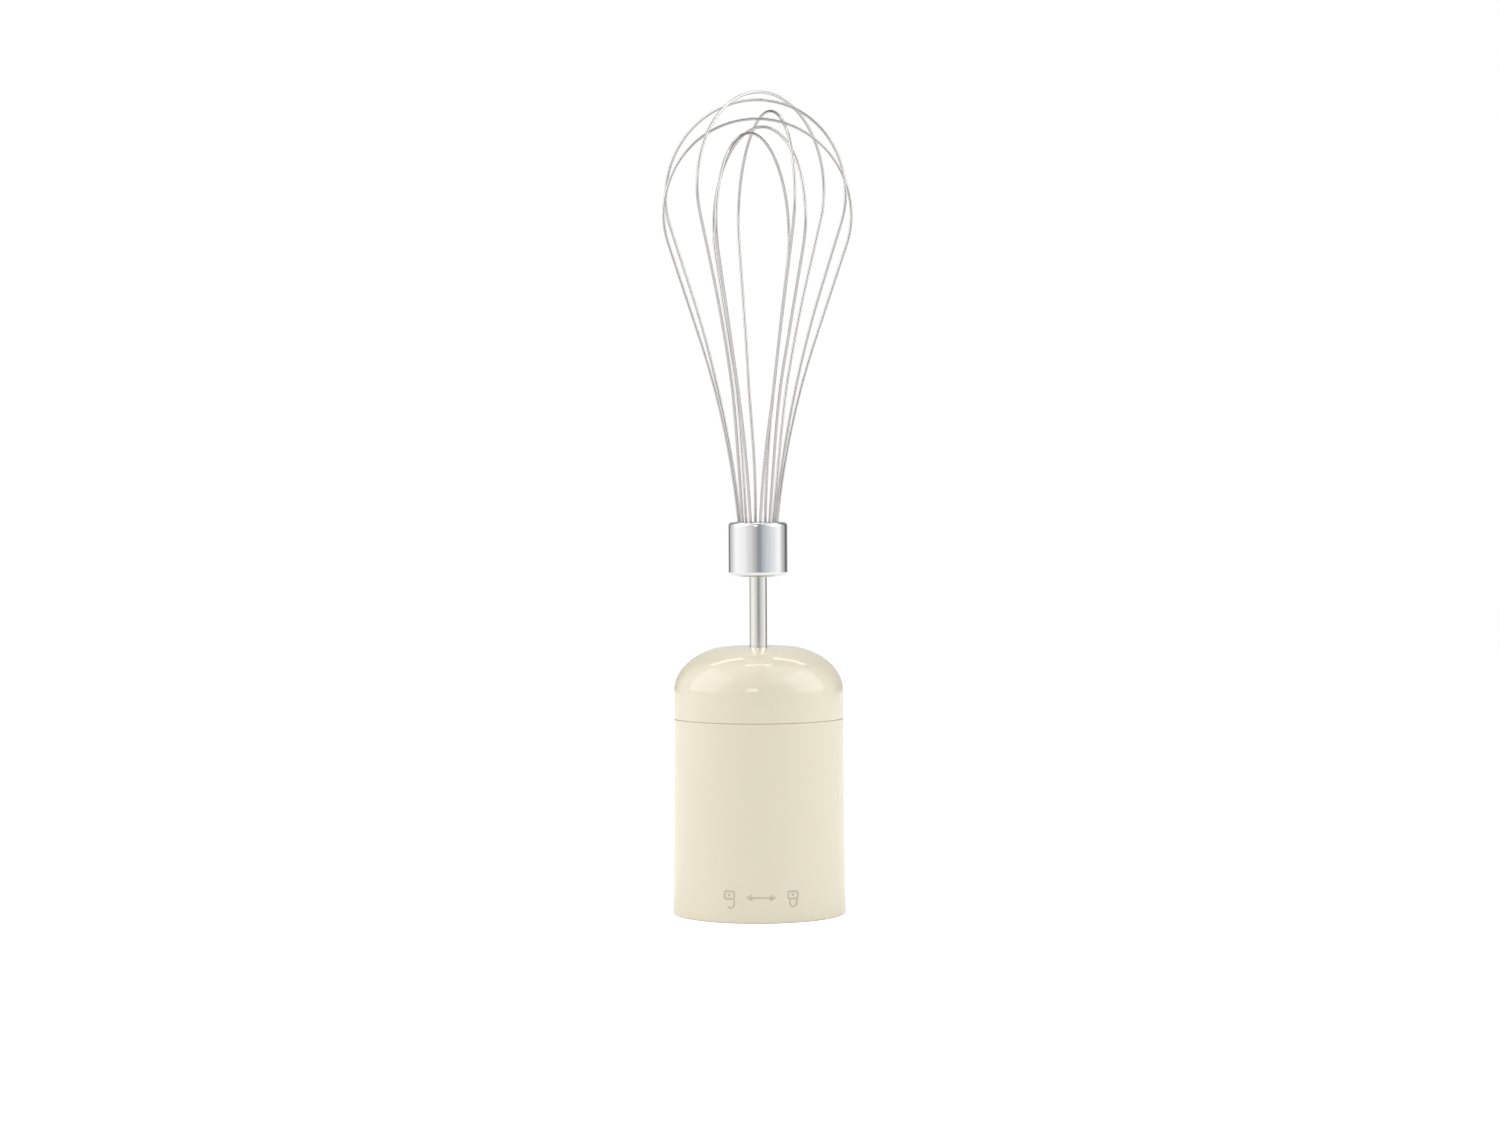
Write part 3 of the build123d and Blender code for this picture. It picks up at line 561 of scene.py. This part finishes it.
# Sintered bronze: pressed powder of about 0.15 mm grains, so it is speckled and slightly porous.
bronze, tree, output = new_material("bronze_sintered_oiled")
where = add_node(tree, "ShaderNodeTexCoord").outputs["Object"]
grains = add_node(tree, "ShaderNodeTexVoronoi", {"Vector": where, "Scale": 1 / (0.15 * MM)})
tone = add_node(tree, "ShaderNodeMix", {
    FACTOR: grains.outputs[0], FIRST_COLOUR: linear("#a9794a"), SECOND_COLOUR: linear("#7c5632"),
}, data_type="RGBA")
bump = add_node(tree, "ShaderNodeBump", {
    "Height": grains.outputs[0], "Strength": 0.4, "Distance": 0.03 * MM,
})
shader = add_node(tree, "ShaderNodeBsdfPrincipled", {
    "Base Color": tone.outputs[MIXED], "Metallic": 1.0, "Roughness": 0.45,
    "Normal": bump.outputs[0],
})
tree.links.new(shader.outputs[0], output.inputs[0])
finish_nodes(bronze, "bronze", "input_bush", "output_bush")

# Nitrile rubber: black, matt, with a dusty bloom.
rubber, tree, output = new_material("nitrile_rubber_moulded_black")
where = add_node(tree, "ShaderNodeTexCoord").outputs["Object"]
bloom = add_node(tree, "ShaderNodeTexNoise", {
    "Vector": where, "Scale": 1 / (1.2 * MM), "Detail": 4.0,
})
tone = add_node(tree, "ShaderNodeMix", {
    FACTOR: bloom.outputs[0], FIRST_COLOUR: linear("#1d1d1d"), SECOND_COLOUR: linear("#2b2b2a"),
}, data_type="RGBA")
shader = add_node(tree, "ShaderNodeBsdfPrincipled", {
    "Base Color": tone.outputs[MIXED], "Roughness": 0.62, "IOR": 1.52,
})
tree.links.new(shader.outputs[0], output.inputs[0])
finish_nodes(rubber, "seal_rubber", "shaft_seal", "housing_gasket")

# ---------------------------------------------------------------- whisk shaft
# A 6 mm stainless rod, centreless ground, with two milled flats at its driven end and a groove
# that the snap ring drops into.

# Ground stainless steel: bright, with very fine rings round the rod, 0.2 mm apart here.
ground, tree, output = new_material("stainless_steel_centreless_ground")
where = add_node(tree, "ShaderNodeTexCoord").outputs["Object"]
squeeze = 25.0
squeezed = add_node(tree, "ShaderNodeMapping", {
    "Vector": where, "Scale": (1.0, 1.0, squeeze),
})
rings = add_node(tree, "ShaderNodeTexNoise", {
    "Vector": squeezed.outputs[0], "Scale": 1 / (squeeze * 0.2 * MM), "Detail": 3.0,
})
rough = add_node(tree, "ShaderNodeMapRange", {
    "Value": rings.outputs[0], "To Min": 0.03, "To Max": 0.07,
})
shader = add_node(tree, "ShaderNodeBsdfPrincipled", {
    "Base Color": linear("#d2d0cb"), "Metallic": 1.0, "Roughness": rough.outputs[0],
})
tree.links.new(shader.outputs[0], output.inputs[0])

shaft_radius = 3.0
shaft_foot = 62.0
shaft_top = 130.0
half_across_flats = 2.3
flat_top = 72.0
flat_run_out = 0.15
groove_radius = 2.6
groove_foot = 75.8
groove_top = 78.2
# The profile stops just short of the axis, so that its rings there stay apart.
near_axis = 0.01
shaft_profile = rounded([
    (near_axis, shaft_foot, 0),
    (shaft_radius, shaft_foot, 0.4),
    (shaft_radius, flat_top - flat_run_out, 0),
    (shaft_radius, flat_top + flat_run_out, 0),
    (shaft_radius, groove_foot, 0.15),
    (groove_radius, groove_foot, 0.1),
    (groove_radius, groove_top, 0.1),
    (shaft_radius, groove_top, 0.15),
    (shaft_radius, shaft_top, 0.2),
    (near_axis, shaft_top, 0),
])


def flattened(r, t):
    """Below the flats' top the radius is at most half_across_flats / |sin t|, the distance to the
    nearer flat, with |sin t| kept off zero."""
    limit = half_across_flats / np.maximum(np.abs(np.sin(t)), 0.01)
    low = shaft_profile[:, 1:] < flat_top
    return np.where(low, np.minimum(r, limit), r)


place("shaft_rod", turned("shaft_rod", shaft_profile, 96, flattened), ground, "whisk",
      ["whisk_shaft"])

# ---------------------------------------------------------------- ferrule
# Deep-drawn steel cup, nickel and chrome plated, pressed on the shaft. Its top edge is rolled in
# over the wire holder.

# Decorative chrome over nickel: a neutral mirror, slightly softened by polishing marks that run
# round the cup, 0.3 mm apart here.
chrome, tree, output = new_material("chrome_plated_polished")
where = add_node(tree, "ShaderNodeTexCoord").outputs["Object"]
squeeze = 20.0
squeezed = add_node(tree, "ShaderNodeMapping", {
    "Vector": where, "Scale": (1.0, 1.0, squeeze),
})
polish = add_node(tree, "ShaderNodeTexNoise", {
    "Vector": squeezed.outputs[0], "Scale": 1 / (squeeze * 0.3 * MM), "Detail": 3.0,
})
rough = add_node(tree, "ShaderNodeMapRange", {
    "Value": polish.outputs[0], "To Min": 0.04, "To Max": 0.09,
})
shader = add_node(tree, "ShaderNodeBsdfPrincipled", {
    "Base Color": linear("#d7d7d8"), "Metallic": 1.0, "Roughness": rough.outputs[0],
})
tree.links.new(shader.outputs[0], output.inputs[0])

ferrule_bottom = 116.7
ferrule_top = 135.5
ferrule_radius = 10.2
ferrule_mouth = 8.3
cup_wall = 0.8
ferrule_profile = rounded([
    (shaft_radius, ferrule_bottom, 0.3),
    (ferrule_radius, ferrule_bottom, 1.6),
    (ferrule_radius, ferrule_top, 1.3),
    (ferrule_mouth, ferrule_top, 0.35),
    (ferrule_mouth, ferrule_top - cup_wall, 0.35),
    (ferrule_radius - cup_wall, ferrule_top - cup_wall, 0.5),
    (ferrule_radius - cup_wall, ferrule_bottom + cup_wall, 0.8),
    (shaft_radius, ferrule_bottom + cup_wall, 0.3),
], steps=10)
place("ferrule_cup", turned("ferrule_cup", ferrule_profile), chrome, "whisk",
      ["ferrule"])

# ---------------------------------------------------------------- wire holder
# Dark plastic plug moulded round the end of the shaft, with twelve holes that grip the wires.
# Only its top shows, inside the ferrule's rolled edge.

finish_nodes(acetal_dark, "holder_plastic", "wire_holder")

# ---------------------------------------------------------------- wire loops
# Six loops of 1 mm spring stainless wire, each bent on a former to a nearly round crown and
# pushed with both ends into the holder. No two planes are alike, and their tops step down.

# Drawn stainless wire: the die leaves fine streaks along the wire, 0.1 mm wide and some 7 mm
# long: 30 to a turn of the wire, and 0.15 to a millimetre along it.
wire_steel, tree, output = new_material("stainless_steel_drawn_wire")
along = add_node(tree, "ShaderNodeUVMap", uv_map="along").outputs[0]
stretched = add_node(tree, "ShaderNodeMapping", {"Vector": along, "Scale": (30.0, 0.15, 1.0)})
streaks = add_node(tree, "ShaderNodeTexNoise", {
    "Vector": stretched.outputs[0], "Scale": 1.0, "Detail": 2.0,
})
rough = add_node(tree, "ShaderNodeMapRange", {
    "Value": streaks.outputs[0], "To Min": 0.17, "To Max": 0.25,
})
shader = add_node(tree, "ShaderNodeBsdfPrincipled", {
    "Base Color": linear("#b6b4b2"), "Metallic": 1.0, "Roughness": rough.outputs[0],
})
tree.links.new(shader.outputs[0], output.inputs[0])

wire_radius = 0.5
wire_circle = 6.67
wire_foot = 122.5
crown_radius = 32.7
leg_angle = radians(18.4)
foot_angle = radians(5.6)
twist_height = 50.0
# Each loop: height of its top above the ferrule, angle of its holes, angle of its plane, and how
# far its top leans towards +X.
loops = [
    (148.0, 37.5, 47.9, 2.4),
    (145.4, -22.5, -18.5, -0.7),
    (141.4, -82.5, -73.0, 4.2),
    (138.9, 7.5, 8.3, 0.6),
    (136.0, -52.5, -61.1, 0.9),
    (133.9, 67.5, 67.4, -1.4),
]


def loop_line(apex, hole_angle, plane_angle, lean):
    """The centre line of a loop and the normal of its plane at each point.

    In the plane, a vertical foot is followed by a flare of constant radius, from foot_angle to
    leg_angle, a straight stretch and a round crown, all tangent. With height the plane turns from
    hole_angle to plane_angle along the smooth step 3 s^2 - 2 s^3, and leans.
    """
    crown_height = apex - crown_radius
    rise = crown_height * np.sin(leg_angle) + wire_circle * np.cos(leg_angle) - crown_radius
    flare = rise / (1 - np.cos(leg_angle - foot_angle))
    bend = np.linspace(foot_angle, leg_angle, 24)
    crown_angle = np.linspace(-leg_angle, pi / 2, 48)
    foot = np.linspace(wire_foot - ferrule_top, -1, 4)
    out = np.concatenate([
        np.full(4, wire_circle),
        wire_circle + flare * (np.cos(foot_angle) - np.cos(bend)),
        crown_radius * np.cos(crown_angle),
    ])
    up = np.concatenate([
        foot,
        flare * (np.sin(bend) - np.sin(foot_angle)),
        crown_height + crown_radius * np.sin(crown_angle),
    ])
    out = np.concatenate([out, -out[-2::-1]])
    up = np.concatenate([up, up[-2::-1]])
    share = np.clip(up / twist_height, 0, 1)
    turn = share ** 2 * (3 - 2 * share)
    angle = np.radians(hole_angle + (plane_angle - hole_angle) * turn)
    x = lean * np.maximum(up, 0) / apex + out * np.cos(angle)
    line = np.stack([x, out * np.sin(angle), ferrule_top + up], 1)
    normal = np.stack([-np.sin(angle), np.cos(angle), np.zeros_like(angle)], 1)
    return line, normal


def tube(name, line, normal, radius, sides=16):
    """A round tube: point (i, j) is line[i] + radius (cos u * across + sin u * side), where side
    is the plane's normal made square to the line, and across is square to both. Its ends close to
    a point, and its UV map holds the turn and the millimetres along it."""
    step = np.gradient(line, axis=0)
    step /= np.linalg.norm(step, axis=1)[:, None]
    side = normal - (normal * step).sum(1)[:, None] * step
    side /= np.linalg.norm(side, axis=1)[:, None]
    across = np.cross(side, step)
    u = np.linspace(0, 2 * pi, sides, endpoint=False)[None, :, None]
    points = line[:, None] + radius * (np.cos(u) * across[:, None] + np.sin(u) * side[:, None])
    first = np.repeat(line[:1, None], sides, 1)
    last = np.repeat(line[-1:, None], sides, 1)
    mesh = grid_mesh(name, np.concatenate([first, points, last]), False, True)
    run = np.concatenate([[0], np.linalg.norm(np.diff(line, axis=0), axis=1).cumsum()])
    run = np.concatenate([run[:1], run, run[-1:]])
    row, column = np.meshgrid(np.arange(len(run) - 1), np.arange(sides), indexing="ij")
    corners = [(0, 0), (0, 1), (1, 1), (1, 0)]
    uv = np.stack([
        np.stack([(column + c) / sides, run[row + r]], -1) for r, c in corners
    ], 2)
    layer = mesh.uv_layers.new(name="along")
    layer.data.foreach_set("uv", uv.astype(np.float32).ravel())
    return mesh


for number, loop in enumerate(loops, start=1):
    line, normal = loop_line(*loop)
    mesh = tube(f"whisk_wire_{number}", line, normal, wire_radius)
    place(f"whisk_wire_{number}", mesh, wire_steel, "whisk", [f"wire_loop_{number}"])

# ---------------------------------------------------------------- floor, light and camera
# A plain white sweep under soft studio light: broad pale panels left and right, a dimmer stretch
# between them on the camera's side, two dark gaps behind the object, and a white background.

floor_mesh = bpy.data.meshes.new("floor")
floor_radius = 1.6
floor_sides = 128
angle = np.linspace(0, 2 * pi, floor_sides, endpoint=False)
rim = floor_radius * np.stack([np.cos(angle), np.sin(angle), np.zeros(floor_sides)], 1)
floor_mesh.from_pydata(rim.tolist(), [], [list(range(floor_sides))])
floor = bpy.data.objects.new("floor", floor_mesh)
bpy.context.scene.collection.objects.link(floor)
# Opal acrylic lit a little from below: matt, and so white to the lens that no contact shadow is
# left on it. Its glow is for camera rays only and lights nothing.
opal, tree, output = new_material("opal_acrylic_sweep_white")
floor_glow = 0.35
seen = add_node(tree, "ShaderNodeLightPath").outputs["Is Camera Ray"]
glow = add_node(tree, "ShaderNodeMath", {0: seen, 1: floor_glow}, operation="MULTIPLY")
shader = add_node(tree, "ShaderNodeBsdfPrincipled", {
    "Base Color": linear("#f6f6f6"), "Roughness": 0.9,
    "Emission Color": linear("#ffffff"), "Emission Strength": glow.outputs[0],
})
tree.links.new(shader.outputs[0], output.inputs[0])
floor_mesh.materials.append(opal)

# The studio round the object: a ramp of brightness with the compass angle, a little brighter
# overhead, which lights everything, and plain white where camera rays meet it.
world = bpy.data.worlds.new("studio")
bpy.context.scene.world = world
world.use_nodes = True
tree = world.node_tree
tree.nodes.clear()
direction = add_node(tree, "ShaderNodeTexCoord").outputs["Generated"]
parts = add_node(tree, "ShaderNodeSeparateXYZ", {0: direction}).outputs
front = add_node(tree, "ShaderNodeMath", {0: parts["Y"], 1: -1.0}, operation="MULTIPLY")
round_angle = add_node(tree, "ShaderNodeMath", {
    0: parts["X"], 1: front.outputs[0],
}, operation="ARCTAN2")
share = add_node(tree, "ShaderNodeMapRange", {
    "Value": round_angle.outputs[0], "From Min": -pi, "From Max": pi,
})
panels = add_node(tree, "ShaderNodeValToRGB", {0: share.outputs[0]})
# Degrees round from the front, positive to the right, with the panel's brightness and tint.
stops = [
    (-180, 0.62, (1, 1, 1)),
    (-150, 0.20, (1, 1, 1)),
    (-130, 0.72, (1, 1, 1)),
    (-92, 1.20, (1, 1, 1)),
    (-60, 1.12, (1, 1, 1)),
    (-30, 0.84, (1, 0.99, 0.98)),
    (-12, 0.60, (1, 0.98, 0.96)),
    (2, 0.37, (0.92, 0.97, 1)),
    (9, 0.42, (0.87, 0.95, 1)),
    (21, 0.64, (0.88, 0.95, 1)),
    (36, 0.80, (0.91, 0.96, 1)),
    (60, 0.96, (0.96, 0.98, 1)),
    (88, 1.20, (1, 1, 1)),
    (116, 0.62, (1, 1, 1)),
    (138, 0.16, (0.95, 0.98, 1)),
    (180, 0.62, (1, 1, 1)),
]
ramp = panels.color_ramp
ramp.interpolation = "EASE"
while len(ramp.elements) < len(stops):
    ramp.elements.new(0.5)
# The ramp holds colours up to 1, so the stops are divided by peak and multiplied back.
peak = 1.3
studio_level = 1.15
for element, (degrees_round, brightness, tint) in zip(ramp.elements, stops):
    element.position = (degrees_round + 180) / 360
    element.color = (*(brightness / peak * np.array(tint)), 1)
height = add_node(tree, "ShaderNodeMapRange", {
    "Value": parts["Z"], "From Min": 0.55, "From Max": 0.95, "To Min": 1.0, "To Max": 1.15,
}, interpolation_type="SMOOTHSTEP")
light = add_node(tree, "ShaderNodeMath", {
    0: height.outputs[0], 1: studio_level * peak,
}, operation="MULTIPLY")
studio = add_node(tree, "ShaderNodeBackground", {
    "Color": panels.outputs[0], "Strength": light.outputs[0],
})
plain = add_node(tree, "ShaderNodeBackground", {"Color": (1, 1, 1, 1), "Strength": 1.0})
seen = add_node(tree, "ShaderNodeLightPath").outputs["Is Camera Ray"]
both = add_node(tree, "ShaderNodeMixShader", {0: seen, 1: studio.outputs[0], 2: plain.outputs[0]})
add_node(tree, "ShaderNodeOutputWorld", {0: both.outputs[0]})

# Soft boxes: two large ones beside the object light the housing, and three smaller ones give the
# glossy dome its highlights. Each has its degrees round from the front, its degrees above the
# horizon, its width and height in metres, and its power in units of pi watts to a square metre.
box_distance = 1.5
box_target = Vector((0, 0, 0.09))
boxes = {
    "box_left": (-82, 31, 1.50, 1.40, 1.30),
    "box_right": (76, 31, 1.40, 1.40, 1.55),
    "box_front": (-9, 18, 0.40, 0.26, 3.5),
    "box_back": (180, 60, 1.70, 0.16, 3.2),
    "box_overhead": (180, 84, 0.50, 0.14, 5.5),
}
for name, (round_degrees, above, width, tall, brightness) in boxes.items():
    lamp = bpy.data.lights.new(name, "AREA")
    lamp.shape = "RECTANGLE"
    lamp.size = width
    lamp.size_y = tall
    lamp.energy = brightness * pi * width * tall
    towards = Vector((
        sin(radians(round_degrees)) * cos(radians(above)),
        -cos(radians(round_degrees)) * cos(radians(above)),
        sin(radians(above)),
    ))
    box = bpy.data.objects.new(name, lamp)
    box.location = box_target + box_distance * towards
    box.rotation_euler = towards.to_track_quat("Z", "Y").to_euler()
    box.visible_camera = False
    bpy.context.scene.collection.objects.link(box)

camera_data = bpy.data.cameras.new("camera")
camera_data.sensor_width = 36.0
camera_data.lens = 84.0
camera_data.clip_start = 0.05
camera = bpy.data.objects.new("camera", camera_data)
camera_tilt_down = 1.87
camera_roll = 0.27
camera.location = (-0.0026, -1.210, 0.161)
camera.rotation_euler = Euler((radians(90 - camera_tilt_down), radians(camera_roll), 0.0), "XYZ")
bpy.context.scene.collection.objects.link(camera)
bpy.context.scene.camera = camera
bpy.context.scene.view_settings.view_transform = "Standard"
